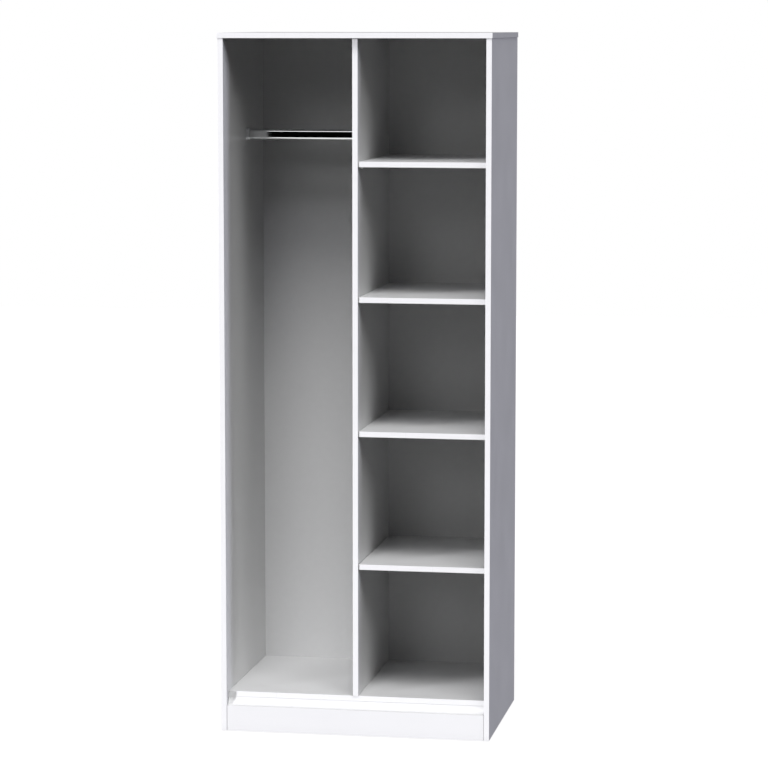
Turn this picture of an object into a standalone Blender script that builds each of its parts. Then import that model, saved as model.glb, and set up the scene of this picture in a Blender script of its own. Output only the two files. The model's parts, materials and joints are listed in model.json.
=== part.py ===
"""Open wardrobe: a hanging bay on the left and a bay with four loose shelves on the right.

Metres, +Z up. The origin is the middle of the footprint at floor level, and the open front faces -Y.
"""

import math

import bmesh
import bpy
from mathutils import Matrix, Vector

# Driving dimensions of the carcass.
HEIGHT = 1.970
TOP_WIDTH = 0.770
TOP_DEPTH = 0.530
BOARD = 0.015
TOP_SIDE_OVERHANG = 0.002
TOP_FRONT_OVERHANG = 0.003
DIVIDER_SETBACK = 0.020
SHELF_SETBACK = 0.024
BASE_TOP = 0.112
SHELF_PITCH = 0.376
SHELF_COUNT = 4
SHELF_CLEARANCE = 0.001
EDGE_ROUND = 0.0005
GAP = 0.0003

# The sheet behind both bays, held in a groove.
BACK_THICKNESS = 0.003
BACK_INSET = 0.007
BACK_BOTTOM = 0.020
GROOVE_DEPTH = 0.006

# The plinth: its front top edge is hollowed out up to the base panel.
PLINTH_SETBACK = 0.001
PLINTH_DEPTH = 0.030
PLINTH_END_GAP = 0.001
COVE_BOTTOM = 0.075
COVE_STEPS = 12

# The hanging rail, a flat-sided oval tube, and the sockets that hold its ends.
RAIL_HEIGHT = 0.030
RAIL_WIDTH = 0.015
RAIL_WALL = 0.0012
RAIL_BACK_FROM_FRONT = 0.2945
RAIL_Z = 1.680
OVAL_STEPS = 10
FLANGE_RIM = 0.0015
FLANGE_THICKNESS = 0.002
COLLAR_WALL = 0.0015
COLLAR_REACH = 0.010
RAIL_SCREW_RISE = 0.0075

# Fixings. Each profile is a list of (radius, height) from the top of the piece to its bottom.
DOWEL_RADIUS = 0.004
DOWEL_LENGTH = 0.030
DOWEL_IN_FACE = 0.010
DOWEL_CHAMFER = 0.001
PIN_RADIUS = 0.0025
PIN_IN_PANEL = 0.008
PIN_OUT = 0.008
PIN_COLLAR_RADIUS = 0.0035
PIN_COLLAR = 0.0006
PIN_TIP_CHAMFER = 0.00075
PIN_FROM_SHELF_FRONT = 0.037
PIN_FROM_SHELF_REAR = 0.050
GLIDE_HEIGHT = 0.003
GLIDE_RADIUS = 0.0068
GLIDE_NAIL_RADIUS = 0.0012
GLIDE_NAIL_LENGTH = 0.013
SCREW_HEAD_RADIUS = 0.0033
SCREW_HEAD_DEPTH = 0.0018
SCREW_RADIUS = 0.00165
SCREW_LENGTH = 0.0125
SEAT_BEYOND = 0.001
ROUND_SIDES = 16
FIXING_FROM_EDGE = 0.062
PLINTH_DOWEL_HEIGHTS = (("lower", 0.025), ("upper", 0.055))

# Planes that the pieces meet at.
SIDE_OUTER = TOP_WIDTH / 2 - TOP_SIDE_OVERHANG
SIDE_INNER = SIDE_OUTER - BOARD
DIVIDER_FACE = BOARD / 2
FRONT = -TOP_DEPTH / 2
REAR = TOP_DEPTH / 2
SIDE_FRONT = FRONT + TOP_FRONT_OVERHANG
DIVIDER_FRONT = SIDE_FRONT + DIVIDER_SETBACK
SHELF_FRONT = SIDE_FRONT + SHELF_SETBACK
BACK_REAR = REAR - BACK_INSET
BACK_FRONT = BACK_REAR - BACK_THICKNESS
TOP_UNDERSIDE = HEIGHT - BOARD
BASE_UNDERSIDE = BASE_TOP - BOARD
PLINTH_FRONT = SIDE_FRONT + PLINTH_SETBACK
PLINTH_REAR = PLINTH_FRONT + PLINTH_DEPTH
RAIL_Y = SIDE_FRONT + RAIL_BACK_FROM_FRONT
RAIL_SCREWS = (("lower", RAIL_Z - RAIL_SCREW_RISE), ("upper", RAIL_Z + RAIL_SCREW_RISE))
FIXING_YS = (SIDE_FRONT + FIXING_FROM_EDGE, REAR - FIXING_FROM_EDGE)

# Directions that a round piece can point in.
UP = Matrix.Identity(4)
TO_LEFT = Matrix.Rotation(-math.pi / 2, 4, "Y")
TO_RIGHT = Matrix.Rotation(math.pi / 2, 4, "Y")

# Turns a flat outline's X to Y, its Y to Z, and its depth to X: a section of something that runs across.
ACROSS_SECTION = Matrix(((0, 0, 1, 0), (1, 0, 0, 0), (0, 1, 0, 0), (0, 0, 0, 1)))


def clear_scene():
    for old in list(bpy.data.objects):
        bpy.data.objects.remove(old, do_unlink=True)


def collection(name, hidden=False):
    made = bpy.data.collections.new(name)
    bpy.context.scene.collection.children.link(made)
    made.hide_render = hidden
    return made


def material(name, color, roughness, metallic=0.0):
    made = bpy.data.materials.new(name)
    made.use_nodes = True
    shader = made.node_tree.nodes["Principled BSDF"]
    shader.inputs["Base Color"].default_value = (*color, 1.0)
    shader.inputs["Roughness"].default_value = roughness
    shader.inputs["Metallic"].default_value = metallic
    made.diffuse_color = (*color, 1.0)
    return made


def add(name, mesh, finish, place):
    """Puts a mesh in the scene as a part of the wardrobe."""
    part = bpy.data.objects.new(name, mesh)
    mesh.materials.clear()
    mesh.materials.append(finish)
    part.matrix_world = place
    wardrobe.objects.link(part)
    return part


def board(name, low, high, finish):
    """A flat board between two corners, with its arrises just taken off."""
    size = Vector(high) - Vector(low)
    shape = bmesh.new()
    bmesh.ops.create_cube(shape, size=1.0, matrix=Matrix.Diagonal((*size, 1.0)))
    mesh = bpy.data.meshes.new(name)
    shape.to_mesh(mesh)
    shape.free()
    part = add(name, mesh, finish, Matrix.Translation((Vector(low) + Vector(high)) / 2))
    arris = part.modifiers.new("arris", "BEVEL")
    arris.width = EDGE_ROUND
    arris.segments = 2
    arris.limit_method = "NONE"
    return part


def hole(center, length, radius, direction):
    """A round hole to cut, as a function that adds its cylinder to a mesh."""

    def into(shape):
        bmesh.ops.create_cone(
            shape,
            cap_ends=True,
            segments=ROUND_SIDES,
            radius1=radius,
            radius2=radius,
            depth=length,
            matrix=Matrix.Translation(center) @ direction,
        )

    return into


def slot(low, high):
    """A rectangular slot to cut, as a function that adds its box to a mesh."""

    def into(shape):
        size = Vector(high) - Vector(low)
        place = Matrix.Translation((Vector(low) + Vector(high)) / 2)
        bmesh.ops.create_cube(shape, size=1.0, matrix=place @ Matrix.Diagonal((*size, 1.0)))

    return into


def cut(part, removals):
    """Cuts all the given holes and slots out of a part with one Boolean."""
    shape = bmesh.new()
    for removal in removals:
        removal(shape)
    mesh = bpy.data.meshes.new("cut_" + part.name)
    shape.to_mesh(mesh)
    shape.free()
    cutter = bpy.data.objects.new("cut_" + part.name, mesh)
    cutter.hide_render = True
    cutter.display_type = "WIRE"
    cutters.objects.link(cutter)
    boolean = part.modifiers.new("holes", "BOOLEAN")
    boolean.operation = "DIFFERENCE"
    boolean.solver = "EXACT"
    boolean.object = cutter


def extruded(name, outlines, length, finish, place):
    """A flat outline, with any inner outlines as holes, drawn out along its own Z and welded."""
    curve = bpy.data.curves.new(name, "CURVE")
    curve.dimensions = "2D"
    curve.fill_mode = "BOTH"
    curve.extrude = length / 2
    for outline in outlines:
        spline = curve.splines.new("POLY")
        spline.points.add(len(outline) - 1)
        for point, (x, y) in zip(spline.points, outline):
            point.co = (x, y, 0.0, 1.0)
        spline.use_cyclic_u = True
    drawn = bpy.data.objects.new(name + "_outline", curve)
    wardrobe.objects.link(drawn)
    graph = bpy.context.evaluated_depsgraph_get()
    mesh = bpy.data.meshes.new_from_object(drawn.evaluated_get(graph))
    bpy.data.objects.remove(drawn)
    shape = bmesh.new()
    shape.from_mesh(mesh)
    bmesh.ops.remove_doubles(shape, verts=shape.verts, dist=1e-6)
    bmesh.ops.recalc_face_normals(shape, faces=shape.faces)
    shape.to_mesh(mesh)
    shape.free()
    mesh.name = name
    mesh.shade_smooth()
    mesh.set_sharp_from_angle(angle=math.radians(30))
    return add(name, mesh, finish, place)


def oval(width, height):
    """A flat-sided oval: two half circles joined by straight sides, its height along Y."""
    radius = width / 2
    straight = height / 2 - radius
    points = []
    for end, start in ((straight, 0.0), (-straight, math.pi)):
        for step in range(OVAL_STEPS + 1):
            angle = start + math.pi * step / OVAL_STEPS
            points.append((radius * math.cos(angle), end + radius * math.sin(angle)))
    return points


def turned(name, profile, finish, place):
    """A round piece about its own Z, from a profile of (radius, height) running top to bottom."""
    mesh = bpy.data.meshes.new(name)
    points = [(radius, 0.0, height) for radius, height in profile]
    mesh.from_pydata(points, [(i, i + 1) for i in range(len(points) - 1)], [])
    part = add(name, mesh, finish, place)
    lathe = part.modifiers.new("lathe", "SCREW")
    lathe.axis = "Z"
    lathe.steps = ROUND_SIDES
    lathe.render_steps = ROUND_SIDES
    lathe.use_merge_vertices = True
    lathe.merge_threshold = 1e-5
    lathe.use_smooth_shade = True
    return part


def dowel(name, center, direction):
    """A chamfered wood dowel, centred on the given point."""
    half = DOWEL_LENGTH / 2
    profile = [
        (0.0, half),
        (DOWEL_RADIUS - DOWEL_CHAMFER, half),
        (DOWEL_RADIUS, half - DOWEL_CHAMFER),
        (DOWEL_RADIUS, DOWEL_CHAMFER - half),
        (DOWEL_RADIUS - DOWEL_CHAMFER, -half),
        (0.0, -half),
    ]
    turned(name, profile, beech, Matrix.Translation(center) @ direction)


def dowel_hole(center, direction):
    return hole(center, DOWEL_LENGTH + 2 * GAP, DOWEL_RADIUS + GAP, direction)


def shelf_top(number):
    """The height of a shelf's upper face: shelf 1 is the highest."""
    return BASE_TOP + (SHELF_COUNT + 1 - number) * SHELF_PITCH


def pin_places():
    """Name, wall, height and depth of each shelf pin. The wall is the face that the pin comes out of."""
    rear = BACK_FRONT - SHELF_CLEARANCE - PIN_FROM_SHELF_REAR
    depths = (("front", SHELF_FRONT + PIN_FROM_SHELF_FRONT), ("rear", rear))
    for number in range(1, SHELF_COUNT + 1):
        height = shelf_top(number) - BOARD - GAP - PIN_RADIUS
        for wall in ("left", "right"):
            for word, depth in depths:
                yield f"shelf_pin_{number}_{word}_{wall}", wall, depth, height


def glide_places():
    for word, sign in (("left", -1), ("right", 1)):
        for end, depth in zip(("front", "rear"), FIXING_YS):
            yield f"glide_{end}_{word}", (sign * (SIDE_INNER + BOARD / 2), depth)


def make_top():
    end = TOP_WIDTH / 2
    top = board("top_panel", (-end, FRONT, TOP_UNDERSIDE), (end, REAR, HEIGHT), laminate)
    groove_end = SIDE_INNER + GROOVE_DEPTH + GAP
    removals = [
        slot(
            (-groove_end, BACK_FRONT - GAP, TOP_UNDERSIDE - BOARD),
            (groove_end, BACK_REAR + GAP, TOP_UNDERSIDE + GROOVE_DEPTH),
        )
    ]
    removals += [dowel_hole(center, UP) for _, center in top_dowels()]
    cut(top, removals)


def top_dowels():
    """The dowels between the top and the three uprights, as (name, centre)."""
    height = TOP_UNDERSIDE + DOWEL_IN_FACE - DOWEL_LENGTH / 2
    middle = SIDE_INNER + BOARD / 2
    for word, across in (("left", -middle), ("divider", 0.0), ("right", middle)):
        for end, depth in zip(("front", "rear"), FIXING_YS):
            yield f"dowel_top_{word}_{end}", (across, depth, height)


def foot_dowels():
    """The dowels between the base and the foot of the divider."""
    height = BASE_TOP - DOWEL_IN_FACE + DOWEL_LENGTH / 2
    for end, depth in zip(("front", "rear"), FIXING_YS):
        yield f"dowel_divider_foot_{end}", (0.0, depth, height)


def side_dowels(sign):
    """The dowels that join the base and the plinths to one side: sign is -1 for the left side."""
    word = "left" if sign < 0 else "right"
    middle = sign * (SIDE_INNER + DOWEL_IN_FACE - DOWEL_LENGTH / 2)
    for end, depth in zip(("front", "rear"), FIXING_YS):
        yield f"dowel_base_{word}_{end}", (middle, depth, BASE_TOP - BOARD / 2)
    for end, depth in (
        ("front", (PLINTH_FRONT + PLINTH_REAR) / 2),
        ("rear", BACK_FRONT - GAP - BOARD / 2),
    ):
        for level, height in PLINTH_DOWEL_HEIGHTS:
            yield f"dowel_plinth_{end}_{word}_{level}", (middle, depth, height)


def make_side(name, sign):
    inner = sign * SIDE_INNER
    outer = sign * SIDE_OUTER
    side = board(
        name,
        (min(inner, outer), SIDE_FRONT, GLIDE_HEIGHT),
        (max(inner, outer), REAR, TOP_UNDERSIDE - GAP),
        laminate,
    )
    groove_floor = sign * (SIDE_INNER + GROOVE_DEPTH)
    groove_mouth = sign * (SIDE_INNER - BOARD)
    removals = [
        slot(
            (min(groove_floor, groove_mouth), BACK_FRONT - GAP, -BOARD),
            (max(groove_floor, groove_mouth), BACK_REAR + GAP, HEIGHT),
        )
    ]
    removals += [dowel_hole(center, UP) for _, center in top_dowels() if center[0] * sign > 0]
    removals += [dowel_hole(center, TO_RIGHT) for _, center in side_dowels(sign)]
    for _, (across, depth) in glide_places():
        if across * sign > 0:
            removals.append(nail_hole(across, depth))
    if sign > 0:
        removals += pin_holes("right", inner)
    else:
        removals += rail_screw_holes(inner)
    cut(side, removals)


def nail_hole(across, depth):
    middle = (across, depth, GLIDE_HEIGHT + GLIDE_NAIL_LENGTH / 2)
    return hole(middle, GLIDE_NAIL_LENGTH + 2 * GAP, GLIDE_NAIL_RADIUS + GAP, UP)


def pin_holes(wanted, face):
    """The holes for the shelf pins of one wall of the shelf bay, in the panel whose face is given."""
    return [
        hole((face, depth, height), 2 * (PIN_IN_PANEL + GAP), PIN_RADIUS + GAP, TO_RIGHT)
        for _, wall, depth, height in pin_places()
        if wall == wanted
    ]


def rail_screw_holes(face):
    """The pilot holes for the screws of one rail socket, in the panel whose face is given."""
    length = 2 * (SCREW_LENGTH - FLANGE_THICKNESS + GAP)
    return [hole((face, RAIL_Y, height), length, SCREW_RADIUS + GAP, TO_RIGHT) for _, height in RAIL_SCREWS]


def make_divider():
    divider = board(
        "divider_panel",
        (-DIVIDER_FACE, DIVIDER_FRONT, BASE_TOP + GAP),
        (DIVIDER_FACE, BACK_FRONT - GAP, TOP_UNDERSIDE - GAP),
        laminate,
    )
    removals = [dowel_hole(center, UP) for name, center in top_dowels() if "divider" in name]
    removals += [dowel_hole(center, UP) for _, center in foot_dowels()]
    removals += pin_holes("left", DIVIDER_FACE)
    removals += rail_screw_holes(-DIVIDER_FACE)
    cut(divider, removals)


def make_base():
    base = board(
        "base_panel",
        (-SIDE_INNER + GAP, SHELF_FRONT, BASE_UNDERSIDE),
        (SIDE_INNER - GAP, BACK_FRONT - GAP, BASE_TOP),
        laminate,
    )
    removals = [dowel_hole(center, UP) for _, center in foot_dowels()]
    for sign in (-1, 1):
        removals += [dowel_hole(center, TO_RIGHT) for name, center in side_dowels(sign) if "base" in name]
    cut(base, removals)


def make_shelves():
    for number in range(1, SHELF_COUNT + 1):
        top = shelf_top(number)
        board(
            f"shelf_{number}",
            (DIVIDER_FACE + SHELF_CLEARANCE, SHELF_FRONT, top - BOARD),
            (SIDE_INNER - SHELF_CLEARANCE, BACK_FRONT - SHELF_CLEARANCE, top),
            laminate,
        )


def make_back():
    edge = SIDE_INNER + GROOVE_DEPTH - GAP
    board(
        "back_panel",
        (-edge, BACK_FRONT, BACK_BOTTOM),
        (edge, BACK_REAR, TOP_UNDERSIDE + GROOVE_DEPTH - GAP),
        hardboard,
    )


def make_plinths():
    """The coved front plinth, and the plain rail that carries the back of the base."""
    top = BASE_UNDERSIDE - GAP
    radius = top - COVE_BOTTOM
    outline = [(PLINTH_REAR, top), (PLINTH_REAR, GLIDE_HEIGHT), (PLINTH_FRONT, GLIDE_HEIGHT)]
    for step in range(COVE_STEPS + 1):
        angle = math.pi / 2 * (1 - step / COVE_STEPS)
        outline.append((PLINTH_FRONT + radius * math.cos(angle), top - radius * math.sin(angle)))
    length = 2 * (SIDE_INNER - PLINTH_END_GAP)
    front = extruded("plinth_front", [outline], length, laminate, ACROSS_SECTION)
    rear = board(
        "plinth_rear",
        (-SIDE_INNER + GAP, BACK_FRONT - GAP - BOARD, GLIDE_HEIGHT),
        (SIDE_INNER - GAP, BACK_FRONT - GAP, top),
        laminate,
    )
    dowels = [*side_dowels(-1), *side_dowels(1)]
    for plinth in (front, rear):
        cut(plinth, [dowel_hole(center, TO_RIGHT) for name, center in dowels if plinth.name in name])


def make_rail():
    left = -SIDE_INNER + FLANGE_THICKNESS + GAP
    right = -DIVIDER_FACE - FLANGE_THICKNESS - GAP
    outlines = [
        oval(RAIL_WIDTH, RAIL_HEIGHT),
        oval(RAIL_WIDTH - 2 * RAIL_WALL, RAIL_HEIGHT - 2 * RAIL_WALL),
    ]
    place = Matrix.Translation(((left + right) / 2, RAIL_Y, RAIL_Z)) @ ACROSS_SECTION
    extruded("hanging_rail", outlines, right - left, chrome, place)
    make_socket("rail_socket_left", -SIDE_INNER, 1)
    make_socket("rail_socket_right", -DIVIDER_FACE, -1)


def make_socket(name, face, out):
    """An oval cup around the rail's end, screwed to a panel through its floor. out is +1 or -1."""
    inner = (RAIL_WIDTH + 2 * GAP, RAIL_HEIGHT + 2 * GAP)
    outer = (inner[0] + 2 * COLLAR_WALL, inner[1] + 2 * COLLAR_WALL)
    rim = (outer[0] + 2 * FLANGE_RIM, outer[1] + 2 * FLANGE_RIM)
    middle = face + out * (FLANGE_THICKNESS + GAP) / 2
    place = Matrix.Translation((middle, RAIL_Y, RAIL_Z)) @ ACROSS_SECTION
    flange = extruded(name, [oval(*rim)], FLANGE_THICKNESS - GAP, zinc, place)
    reach = COLLAR_REACH - FLANGE_THICKNESS / 2
    middle = face + out * (FLANGE_THICKNESS / 2 + COLLAR_REACH) / 2
    place = Matrix.Translation((middle, RAIL_Y, RAIL_Z)) @ ACROSS_SECTION
    collar = extruded("collar_" + name, [oval(*outer), oval(*inner)], reach, zinc, place)
    wardrobe.objects.unlink(collar)
    cutters.objects.link(collar)
    collar.hide_render = True
    collar.display_type = "WIRE"
    join = flange.modifiers.new("collar", "BOOLEAN")
    join.operation = "UNION"
    join.solver = "EXACT"
    join.object = collar
    cut(flange, [screw_seat(face, out, height) for _, height in RAIL_SCREWS])
    for word, height in RAIL_SCREWS:
        make_rail_screw(name.replace("socket", "screw") + "_" + word, face, out, height)


def screw_seat(face, out, height):
    """The countersunk hole in a socket's floor, as a cone that ends beyond both faces."""

    def into(shape):
        wide = SCREW_HEAD_RADIUS + 2 * GAP
        narrow = SCREW_RADIUS + GAP
        slope = (wide - narrow) / (SCREW_HEAD_DEPTH + GAP)
        depth = FLANGE_THICKNESS + 2 * SEAT_BEYOND
        center = (face + out * FLANGE_THICKNESS / 2, RAIL_Y, height)
        bmesh.ops.create_cone(
            shape,
            cap_ends=True,
            segments=ROUND_SIDES,
            radius1=wide + slope * (SEAT_BEYOND - depth),
            radius2=wide + slope * SEAT_BEYOND,
            depth=depth,
            matrix=Matrix.Translation(center) @ (TO_RIGHT if out > 0 else TO_LEFT),
        )

    return into


def make_rail_screw(name, face, out, height):
    profile = [
        (0.0, 0.0),
        (SCREW_HEAD_RADIUS, 0.0),
        (SCREW_RADIUS, -SCREW_HEAD_DEPTH),
        (SCREW_RADIUS, -SCREW_LENGTH + 2 * SCREW_RADIUS),
        (0.0, -SCREW_LENGTH),
    ]
    place = Matrix.Translation((face + out * FLANGE_THICKNESS, RAIL_Y, height))
    turned(name, profile, steel, place @ (TO_RIGHT if out > 0 else TO_LEFT))


def make_pins():
    """Steel pins that the shelves rest on. Each pin's own Z points out of its wall."""
    profile = [
        (0.0, PIN_OUT),
        (PIN_RADIUS - PIN_TIP_CHAMFER, PIN_OUT),
        (PIN_RADIUS, PIN_OUT - PIN_TIP_CHAMFER),
        (PIN_RADIUS, PIN_COLLAR),
        (PIN_COLLAR_RADIUS, PIN_COLLAR),
        (PIN_COLLAR_RADIUS, GAP),
        (PIN_RADIUS, GAP),
        (PIN_RADIUS, -PIN_IN_PANEL),
        (0.0, -PIN_IN_PANEL),
    ]
    for name, wall, depth, height in pin_places():
        across, direction = (DIVIDER_FACE, TO_RIGHT) if wall == "left" else (SIDE_INNER, TO_LEFT)
        turned(name, profile, steel, Matrix.Translation((across, depth, height)) @ direction)


def make_glides():
    head = GLIDE_HEIGHT - GAP
    profile = [
        (0.0, GLIDE_HEIGHT + GLIDE_NAIL_LENGTH),
        (GLIDE_NAIL_RADIUS, GLIDE_HEIGHT + GLIDE_NAIL_LENGTH - 2 * GLIDE_NAIL_RADIUS),
        (GLIDE_NAIL_RADIUS, head),
        (GLIDE_RADIUS, head),
        (GLIDE_RADIUS, head / 2),
        (GLIDE_RADIUS - head / 2, 0.0),
        (0.0, 0.0),
    ]
    for name, (across, depth) in glide_places():
        turned(name, profile, plastic, Matrix.Translation((across, depth, 0.0)))


def make_dowels():
    for name, center in (*top_dowels(), *foot_dowels()):
        dowel(name, center, UP)
    for sign in (-1, 1):
        for name, center in side_dowels(sign):
            dowel(name, center, TO_RIGHT)


clear_scene()
wardrobe = collection("wardrobe")
cutters = collection("cutters", hidden=True)
laminate = material("white_laminate", (0.86, 0.86, 0.87), 0.42)
hardboard = material("white_hardboard", (0.82, 0.82, 0.83), 0.55)
chrome = material("chrome", (0.80, 0.81, 0.82), 0.08, 1.0)
zinc = material("plated_zinc", (0.70, 0.71, 0.72), 0.25, 1.0)
steel = material("plated_steel", (0.62, 0.62, 0.61), 0.30, 1.0)
beech = material("beech", (0.62, 0.45, 0.28), 0.70)
plastic = material("grey_plastic", (0.55, 0.55, 0.56), 0.45)

make_top()
make_side("left_side_panel", -1)
make_side("right_side_panel", 1)
make_divider()
make_base()
make_shelves()
make_back()
make_plinths()
make_rail()
make_pins()
make_glides()
make_dowels()
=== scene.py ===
"""The looks of the open wardrobe: its finishes, the edging on its boards, its rounder rail, a plain
floor, soft light and a camera. Everything is in metres, +Z up, with the open front facing -Y."""

import json
import math

import bmesh
import bpy
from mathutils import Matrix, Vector


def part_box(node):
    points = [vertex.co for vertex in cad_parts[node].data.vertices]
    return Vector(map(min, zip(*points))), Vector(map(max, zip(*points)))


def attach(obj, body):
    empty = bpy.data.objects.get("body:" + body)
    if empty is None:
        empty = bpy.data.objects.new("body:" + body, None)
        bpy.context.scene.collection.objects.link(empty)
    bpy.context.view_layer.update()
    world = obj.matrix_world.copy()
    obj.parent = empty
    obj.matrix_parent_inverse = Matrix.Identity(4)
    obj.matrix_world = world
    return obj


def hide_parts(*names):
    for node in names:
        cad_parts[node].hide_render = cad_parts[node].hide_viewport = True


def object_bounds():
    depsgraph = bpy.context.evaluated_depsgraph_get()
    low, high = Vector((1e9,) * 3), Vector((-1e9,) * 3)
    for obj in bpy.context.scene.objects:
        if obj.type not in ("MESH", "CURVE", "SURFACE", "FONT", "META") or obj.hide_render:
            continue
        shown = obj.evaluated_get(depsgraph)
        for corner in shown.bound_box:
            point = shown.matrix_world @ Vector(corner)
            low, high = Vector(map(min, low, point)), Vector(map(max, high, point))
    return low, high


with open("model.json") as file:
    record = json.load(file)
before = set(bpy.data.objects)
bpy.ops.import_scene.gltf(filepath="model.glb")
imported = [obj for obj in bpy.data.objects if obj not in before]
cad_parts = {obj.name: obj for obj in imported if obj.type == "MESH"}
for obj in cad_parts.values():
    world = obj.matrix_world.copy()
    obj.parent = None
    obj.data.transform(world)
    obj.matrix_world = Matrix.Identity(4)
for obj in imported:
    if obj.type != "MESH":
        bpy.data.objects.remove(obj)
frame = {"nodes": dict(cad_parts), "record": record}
cad_low, cad_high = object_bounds()

MM = 0.001
WHITE = (1.0, 1.0, 1.0)


# --------------------------------------------------------------------------------------
# Building a material from nodes
# --------------------------------------------------------------------------------------

IOR = 1.5
# Noise stays mostly between these two values.
NOISE_LOW = 0.3
NOISE_HIGH = 0.7
# A surface counts as facing the rear between these two amounts of its normal along Y.
TURNED_REAR = 0.6
FULLY_REAR = 0.9


class Finish:
    """A Principled material, with short calls for the nodes that feed it."""

    def __init__(self, name, metallic=0.0):
        self.material = bpy.data.materials.new(name)
        self.material.use_nodes = True
        self.tree = self.material.node_tree
        self.shader = self.tree.nodes["Principled BSDF"]
        self.shader.inputs["Metallic"].default_value = metallic
        self.shader.inputs["IOR"].default_value = IOR
        self.coords = self.tree.nodes.new("ShaderNodeTexCoord")
        self.bumps = []

    def node(self, kind, **settings):
        made = self.tree.nodes.new("ShaderNode" + kind)
        for key, value in settings.items():
            setattr(made, key, value)
        return made

    def link(self, output, target):
        self.tree.links.new(output, target)

    def stretched(self, scale):
        """Object coordinates times a scale in features per metre, alike or for each axis."""
        mapping = self.node("Mapping")
        mapping.inputs["Scale"].default_value = scale if isinstance(scale, tuple) else (scale,) * 3
        self.link(self.coords.outputs["Object"], mapping.inputs["Vector"])
        return mapping.outputs["Vector"]

    def noise(self, scale, detail=3.0, roughness=0.5):
        """Soft noise from 0 to 1."""
        made = self.node("TexNoise")
        made.inputs["Scale"].default_value = 1.0
        made.inputs["Detail"].default_value = detail
        made.inputs["Roughness"].default_value = roughness
        self.link(self.stretched(scale), made.inputs["Vector"])
        return made.outputs["Fac"]

    def cells(self, scale, feature="F1"):
        """A Voronoi node: its Color is one random colour for each cell."""
        made = self.node("TexVoronoi", feature=feature)
        made.inputs["Scale"].default_value = 1.0
        self.link(self.stretched(scale), made.inputs["Vector"])
        return made

    def remap(self, value, low, high, start=0.0, end=1.0):
        """A value from start..end mapped to low..high."""
        made = self.node("MapRange")
        made.inputs["From Min"].default_value = start
        made.inputs["From Max"].default_value = end
        made.inputs["To Min"].default_value = low
        made.inputs["To Max"].default_value = high
        self.link(value, made.inputs["Value"])
        return made.outputs["Result"]

    def ramp(self, value, stops):
        """A colour ramp through stops of (position, colour)."""
        made = self.node("ValToRGB")
        elements = made.color_ramp.elements
        while len(elements) < len(stops):
            elements.new(0.5)
        for element, (position, color) in zip(elements, stops):
            element.position = position
            element.color = (*color, 1.0)
        self.link(value, made.inputs["Fac"])
        return made.outputs["Color"]

    def vary(self, noise, low, high):
        """A number that wanders between low and high with a noise."""
        return self.remap(noise, low, high, NOISE_LOW, NOISE_HIGH)

    def mottle(self, noise, first, second):
        """A colour that wanders between two colours with a noise."""
        return self.ramp(noise, [(NOISE_LOW, first), (NOISE_HIGH, second)])

    def mix(self, factor, first, second):
        """A colour between two colours, which are node outputs."""
        made = self.node("Mix", data_type="RGBA")
        self.link(factor, made.inputs["Factor"])
        self.link(first, made.inputs["A"])
        self.link(second, made.inputs["B"])
        return made.outputs["Result"]

    def blend(self, factor, first, second):
        """A number between two numbers, which are node outputs."""
        made = self.node("Mix", data_type="FLOAT")
        self.link(factor, made.inputs["Factor"])
        self.link(first, made.inputs["A"])
        self.link(second, made.inputs["B"])
        return made.outputs["Result"]

    def facing_rear(self):
        """1 on the faces that face the rear, 0 on the others."""
        split = self.node("SeparateXYZ")
        self.link(self.coords.outputs["Normal"], split.inputs["Vector"])
        return self.remap(split.outputs["Y"], 0.0, 1.0, TURNED_REAR, FULLY_REAR)

    def bump(self, height, distance):
        """Relief on top of any before it: a height from 0 to 1 stands for a distance in metres."""
        made = self.node("Bump")
        made.inputs["Distance"].default_value = distance
        self.link(height, made.inputs["Height"])
        if self.bumps:
            self.link(self.bumps[-1].outputs["Normal"], made.inputs["Normal"])
        self.bumps.append(made)
        self.link(made.outputs["Normal"], self.shader.inputs["Normal"])

    def color(self, output):
        self.link(output, self.shader.inputs["Base Color"])

    def rough(self, output):
        self.link(output, self.shader.inputs["Roughness"])

    def glow(self, strength):
        """Shine white where it is seen, without being sampled as a light."""
        self.shader.inputs["Emission Color"].default_value = (*WHITE, 1.0)
        self.shader.inputs["Emission Strength"].default_value = strength
        self.material.cycles.emission_sampling = "NONE"


WHITE_TINT = (0.995, 0.997, 1.0)


def shade(value, color=WHITE):
    """A colour times a number."""
    return tuple(value * part for part in color)


# --------------------------------------------------------------------------------------
# The finishes
# --------------------------------------------------------------------------------------

def laminate_finish():
    """White melamine face with a fine pearl grain and a faint cloudiness, and raw chipboard on a
    board's bare rear edge."""
    finish = Finish("white_laminate")
    white = finish.mottle(
        finish.noise(5.0, detail=2.0),
        shade(0.828, WHITE_TINT),
        shade(0.842, WHITE_TINT),
    )
    flakes = finish.cells((520.0, 520.0, 240.0))
    chips = finish.ramp(
        flakes.outputs["Color"],
        [
            (0.0, (0.33, 0.22, 0.12)),
            (0.45, (0.52, 0.38, 0.23)),
            (0.75, (0.62, 0.48, 0.31)),
            (1.0, (0.74, 0.61, 0.43)),
        ],
    )
    raw = finish.facing_rear()
    finish.color(finish.mix(raw, white, chips))
    sheen = finish.vary(finish.noise(9.0, detail=4.0), 0.33, 0.41)
    dull = finish.remap(flakes.outputs["Distance"], 0.8, 0.95)
    finish.rough(finish.blend(raw, sheen, dull))
    finish.bump(finish.noise(850.0, detail=2.0), 0.02 * MM)
    finish.bump(finish.noise(14.0, detail=1.0), 0.05 * MM)
    return finish.material


def edging_finish():
    """White edging: smoother than the faces, with faint lines from being rolled on."""
    finish = Finish("white_edging")
    finish.color(
        finish.mottle(
            finish.noise(40.0, detail=2.0),
            shade(0.860, WHITE_TINT),
            shade(0.875, WHITE_TINT),
        )
    )
    finish.rough(finish.vary(finish.noise((300.0, 300.0, 6.0)), 0.27, 0.36))
    finish.bump(finish.noise(600.0, detail=2.0), 0.01 * MM)
    return finish.material


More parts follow.
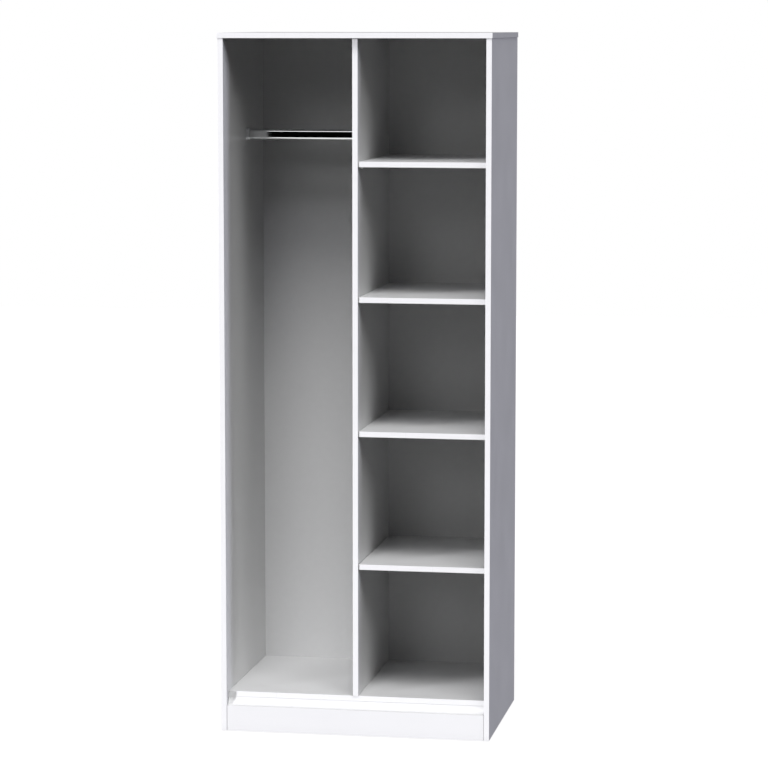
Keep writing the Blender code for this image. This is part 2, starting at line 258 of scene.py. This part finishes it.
def hardboard_finish():
    """Hardboard: white paint with a faint fibre in front, bare brown with a woven mark behind."""
    finish = Finish("white_hardboard")
    white = finish.mottle(
        finish.noise(60.0, detail=5.0),
        shade(0.880, WHITE_TINT),
        shade(0.895, WHITE_TINT),
    )
    brown = finish.ramp(
        finish.noise(34.0, detail=8.0, roughness=0.65),
        [(0.25, (0.19, 0.115, 0.062)), (0.55, (0.27, 0.17, 0.095)), (0.8, (0.34, 0.225, 0.13))],
    )
    bare = finish.facing_rear()
    finish.color(finish.mix(bare, white, brown))
    painted = finish.vary(finish.noise(120.0), 0.50, 0.60)
    fibrous = finish.vary(finish.noise(300.0), 0.75, 0.92)
    finish.rough(finish.blend(bare, painted, fibrous))
    weave = finish.cells((650.0, 650.0, 650.0), feature="DISTANCE_TO_EDGE")
    finish.bump(finish.blend(bare, finish.noise(700.0), weave.outputs["Distance"]), 0.06 * MM)
    return finish.material


def chrome_finish():
    """Bright chrome on a drawn tube: very faint lines along the tube and a little haze."""
    finish = Finish("chrome", metallic=1.0)
    finish.color(finish.mottle(finish.noise(25.0), (0.80, 0.81, 0.82), (0.84, 0.85, 0.86)))
    finish.rough(finish.vary(finish.noise((5.0, 900.0, 900.0)), 0.05, 0.11))
    finish.bump(finish.noise((3.0, 500.0, 500.0)), 0.003 * MM)
    return finish.material


def plated_finish(name, color, smooth, dull, grain):
    """Plated metal with a cloudy colour and a roughness from smooth to dull. The grain is in
    features per metre."""
    finish = Finish(name, metallic=1.0)
    finish.color(finish.mottle(finish.noise(grain / 4), shade(0.9, color), color))
    finish.rough(finish.vary(finish.noise(grain), smooth, dull))
    finish.bump(finish.noise(grain * 2), 0.01 * MM)
    return finish.material


def beech_finish():
    """Raw beech: pale, with fine flecks."""
    finish = Finish("beech")
    finish.color(
        finish.mottle(
            finish.noise((400.0, 400.0, 120.0), detail=5.0),
            (0.50, 0.34, 0.20),
            (0.66, 0.49, 0.32),
        )
    )
    finish.rough(finish.vary(finish.noise(500.0), 0.6, 0.8))
    finish.bump(finish.noise(900.0), 0.05 * MM)
    return finish.material


def plastic_finish():
    """Moulded grey plastic with a fine spark-eroded grain."""
    finish = Finish("grey_plastic")
    finish.color(finish.mottle(finish.noise(200.0), shade(0.50), shade(0.56)))
    finish.rough(finish.vary(finish.noise(700.0), 0.40, 0.52))
    finish.bump(finish.noise(1800.0), 0.02 * MM)
    return finish.material


FINISHES = {
    "white_laminate": laminate_finish(),
    "white_hardboard": hardboard_finish(),
    "chrome": chrome_finish(),
    "plated_zinc": plated_finish("plated_zinc", (0.78, 0.79, 0.80), 0.38, 0.48, 500.0),
    "plated_steel": plated_finish("plated_steel", (0.64, 0.64, 0.62), 0.24, 0.38, 800.0),
    "beech": beech_finish(),
    "grey_plastic": plastic_finish(),
}
EDGING = edging_finish()


def finish_nodes():
    """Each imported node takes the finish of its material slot."""
    for subpart in frame["record"]["subparts"]:
        node = frame["nodes"][subpart["node"]]
        node.data.materials.clear()
        node.data.materials.append(FINISHES[subpart["material_slot"]])


def place(name, shape, material):
    """An object in the scene made of a bmesh, which is used up."""
    mesh = bpy.data.meshes.new(name)
    shape.to_mesh(mesh)
    shape.free()
    mesh.materials.append(material)
    placed = bpy.data.objects.new(name, mesh)
    bpy.context.scene.collection.objects.link(placed)
    return placed


def round_off(mesh, degrees):
    """Smooth shading, but for edges sharper than an angle."""
    mesh.shade_smooth()
    mesh.set_sharp_from_angle(angle=math.radians(degrees))


# --------------------------------------------------------------------------------------
# Edging on the boards
# --------------------------------------------------------------------------------------

EDGING_THICKNESS = 0.8 * MM
EDGING_PROUD = 0.06 * MM
EDGING_ROUND = 0.49 * EDGING_THICKNESS
ROUND_SEGMENTS = 3
SHELVES = 4


def edging(name, low, high, body):
    """A strip of edging that fills a box, with all its arrises rounded."""
    low = Vector(low)
    high = Vector(high)
    shape = bmesh.new()
    bmesh.ops.create_cube(shape, size=1.0)
    bmesh.ops.scale(shape, vec=high - low, verts=shape.verts)
    bmesh.ops.translate(shape, vec=(low + high) / 2, verts=shape.verts)
    strip = place(name, shape, EDGING)
    rounding = strip.modifiers.new("rounding", "BEVEL")
    rounding.width = EDGING_ROUND
    rounding.segments = ROUND_SEGMENTS
    rounding.limit_method = "NONE"
    round_off(strip.data, degrees=50)
    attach(strip, body)


def front_edging(node, body):
    """Edging over the front edge of a board."""
    low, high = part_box(node)
    front = low.y
    edging(
        "edging_" + node,
        (low.x - EDGING_PROUD, front - EDGING_PROUD, low.z - EDGING_PROUD),
        (high.x + EDGING_PROUD, front + EDGING_THICKNESS, high.z + EDGING_PROUD),
        body,
    )


def end_edging(node, side, body):
    """Edging over the end of a board that lies flat: side is -1 for its left end."""
    low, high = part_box(node)
    end = low.x if side < 0 else high.x
    inner = end - side * EDGING_THICKNESS
    outer = end + side * EDGING_PROUD
    word = "left" if side < 0 else "right"
    edging(
        f"edging_{node}_{word}",
        (min(inner, outer), low.y + EDGING_THICKNESS, low.z - EDGING_PROUD),
        (max(inner, outer), high.y, high.z + EDGING_PROUD),
        body,
    )


def make_edging():
    for node in ("left_side_panel", "right_side_panel", "top_panel", "divider_panel", "base_panel"):
        front_edging(node, "carcass")
    for number in range(1, SHELVES + 1):
        front_edging(f"shelf_{number}", f"shelf_{number}")
    for side in (-1, 1):
        end_edging("top_panel", side, "carcass")


# --------------------------------------------------------------------------------------
# Hanging rail
# --------------------------------------------------------------------------------------

RAIL_WALL = 1.2 * MM
ROUND_STEPS = 20


def oval(across, height):
    """Points round an upright oval: straight sides, and half circles above and below."""
    radius = across / 2
    straight = height / 2 - radius
    points = []
    for end in (1, -1):
        for step in range(ROUND_STEPS + 1):
            turn = math.pi * step / ROUND_STEPS
            sideways = end * radius * math.cos(turn)
            points.append((sideways, end * (straight + radius * math.sin(turn))))
    return points


def make_rail():
    """The oval tube with finely stepped edges, in place of the CAD tube's coarser ones."""
    low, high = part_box("hanging_rail")
    middle = (low + high) / 2
    across = high.y - low.y
    height = high.z - low.z
    shape = bmesh.new()
    rings = []
    for outline in (oval(across, height), oval(across - 2 * RAIL_WALL, height - 2 * RAIL_WALL)):
        for x in (low.x, high.x):
            rings.append([shape.verts.new((x, middle.y + y, middle.z + z)) for y, z in outline])
    outer_left, outer_right, inner_left, inner_right = rings
    walls = (
        (outer_left, outer_right),
        (outer_right, inner_right),
        (inner_right, inner_left),
        (inner_left, outer_left),
    )
    for first, second in walls:
        for point in range(len(first)):
            shape.faces.new((first[point - 1], first[point], second[point], second[point - 1]))
    bmesh.ops.recalc_face_normals(shape, faces=shape.faces)
    rail = place("oval_rail", shape, FINISHES["chrome"])
    round_off(rail.data, degrees=40)
    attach(rail, "carcass")
    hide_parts("hanging_rail")


# --------------------------------------------------------------------------------------
# Floor, light and camera
# --------------------------------------------------------------------------------------

AIM = (cad_low + cad_high) / 2
FLOOR_SIZE = 24.0
# The floor's glow and the light on it together come to the white of the background.
FLOOR_GLOW = 0.90
CARD_LOW = (-3.0, -5.0)
CARD_HIGH = (1.0, -0.3)
CARD_GLOW = 1.0
LAMP_DISTANCE = 4.0
COOL = (0.84, 0.84, 1.0)
FAINTLY_COOL = (0.96, 0.955, 1.0)
CAMERA_PLACE = (1.5446, -8.4509, 1.9994)
CAMERA_PITCH = 6.8352
CAMERA_YAW = 10.1067
CAMERA_LENS = 141.61
SENSOR_WIDTH = 36.0
CLIP_END = 100.0


def make_floor():
    """A plain floor as white as the background. It takes shadows, but lights nothing."""
    shape = bmesh.new()
    bmesh.ops.create_grid(shape, x_segments=1, y_segments=1, size=FLOOR_SIZE / 2)
    finish = Finish("floor")
    finish.color(finish.mottle(finish.noise(2.0), shade(0.215), shade(0.225)))
    finish.rough(finish.vary(finish.noise(3.0), 0.7, 0.8))
    finish.glow(FLOOR_GLOW)
    floor = place("floor", shape, finish.material)
    floor.visible_diffuse = False
    floor.visible_glossy = False


def make_card():
    """A dark card on the floor in front that glows, which only mirrored light can see. It is a
    painted reflection:
    it draws the bright reflected line along the bottom of the rail."""
    low = Vector((*CARD_LOW, MM))
    high = Vector((*CARD_HIGH, MM))
    shape = bmesh.new()
    bmesh.ops.create_grid(shape, x_segments=1, y_segments=1, size=0.5)
    bmesh.ops.scale(shape, vec=(high.x - low.x, high.y - low.y, 1.0), verts=shape.verts)
    bmesh.ops.translate(shape, vec=(low + high) / 2, verts=shape.verts)
    finish = Finish("glowing_reflection_card")
    finish.color(finish.mottle(finish.noise(2.0), shade(0.0), shade(0.01)))
    # Painted reflection: the card glows so that the chrome rail mirrors a bright line, and it
    # lights nothing else.
    finish.glow(CARD_GLOW)
    card = place("glowing_reflection_card", shape, finish.material)
    card.visible_camera = False
    card.visible_diffuse = False
    card.visible_transmission = False
    card.visible_shadow = False


def make_surroundings():
    """A background that looks as white as the floor and gives no light of its own."""
    world = bpy.data.worlds.new("surroundings")
    bpy.context.scene.world = world
    world.use_nodes = True
    tree = world.node_tree
    background = tree.nodes["Background"]
    background.inputs["Color"].default_value = (*WHITE, 1.0)
    path = tree.nodes.new("ShaderNodeLightPath")
    tree.links.new(path.outputs["Is Camera Ray"], background.inputs["Strength"])


def direction(azimuth, elevation):
    """A unit vector towards a light: azimuth 0 is in front of the wardrobe, 90 to its right."""
    around = math.radians(azimuth)
    up = math.radians(elevation)
    return Vector((math.sin(around) * math.cos(up), -math.cos(around) * math.cos(up), math.sin(up)))


def soft_light(name, azimuth, elevation, strength, color=WHITE, bounces=None, width=20.0):
    """A distant soft light. Its width is its spread in degrees, and bounces limits how often its
    light bounces. Only plain light sampling keeps to that limit, so a limited lamp has no other."""
    lamp = bpy.data.lights.new(name, "SUN")
    lamp.angle = math.radians(width)
    lamp.energy = strength
    lamp.color = color
    if bounces is not None:
        lamp.cycles.max_bounces = bounces
        lamp.cycles.use_multiple_importance_sampling = False
    placed = bpy.data.objects.new(name, lamp)
    toward = direction(azimuth, elevation)
    placed.location = AIM + toward * LAMP_DISTANCE
    placed.rotation_euler = toward.to_track_quat("Z", "Y").to_euler()
    bpy.context.scene.collection.objects.link(placed)
    return placed


def make_lights():
    """The first three lamps fill the bays, and low_front draws the line along the top of the rail.
    Light from the others doesn't bounce. They light the outside, and the one called front also
    lights the tops of the shelves."""
    soft_light("high_front", 0.0, 58.0, 1.06)
    soft_light("high_right", 34.0, 62.0, 0.68)
    soft_light("low_right", 57.0, 28.0, 0.46)
    soft_light("low_front", -12.0, 20.0, 0.09, width=14.5)
    soft_light("left", -45.0, 4.5, 3.00, FAINTLY_COOL, bounces=0, width=8.0)
    soft_light("side_right", 85.0, 8.0, 1.03, COOL, bounces=0, width=14.0)
    soft_light("front", 0.0, 44.0, 0.30, FAINTLY_COOL, bounces=0)
    rear = soft_light("rear", 190.0, 5.0, 2.0, bounces=0, width=8.0)
    # Seen from the front it would glare across the top.
    rear.visible_glossy = False


def make_camera():
    camera = bpy.data.cameras.new("camera")
    camera.lens = CAMERA_LENS
    camera.sensor_width = SENSOR_WIDTH
    camera.clip_end = CLIP_END
    placed = bpy.data.objects.new("camera", camera)
    placed.location = CAMERA_PLACE
    placed.rotation_euler = (math.radians(90.0 - CAMERA_PITCH), 0.0, math.radians(CAMERA_YAW))
    bpy.context.scene.collection.objects.link(placed)
    bpy.context.scene.camera = placed


make_camera()
finish_nodes()
make_edging()
make_rail()
make_floor()
make_card()
make_surroundings()
make_lights()
bpy.context.scene.view_settings.view_transform = "Standard"
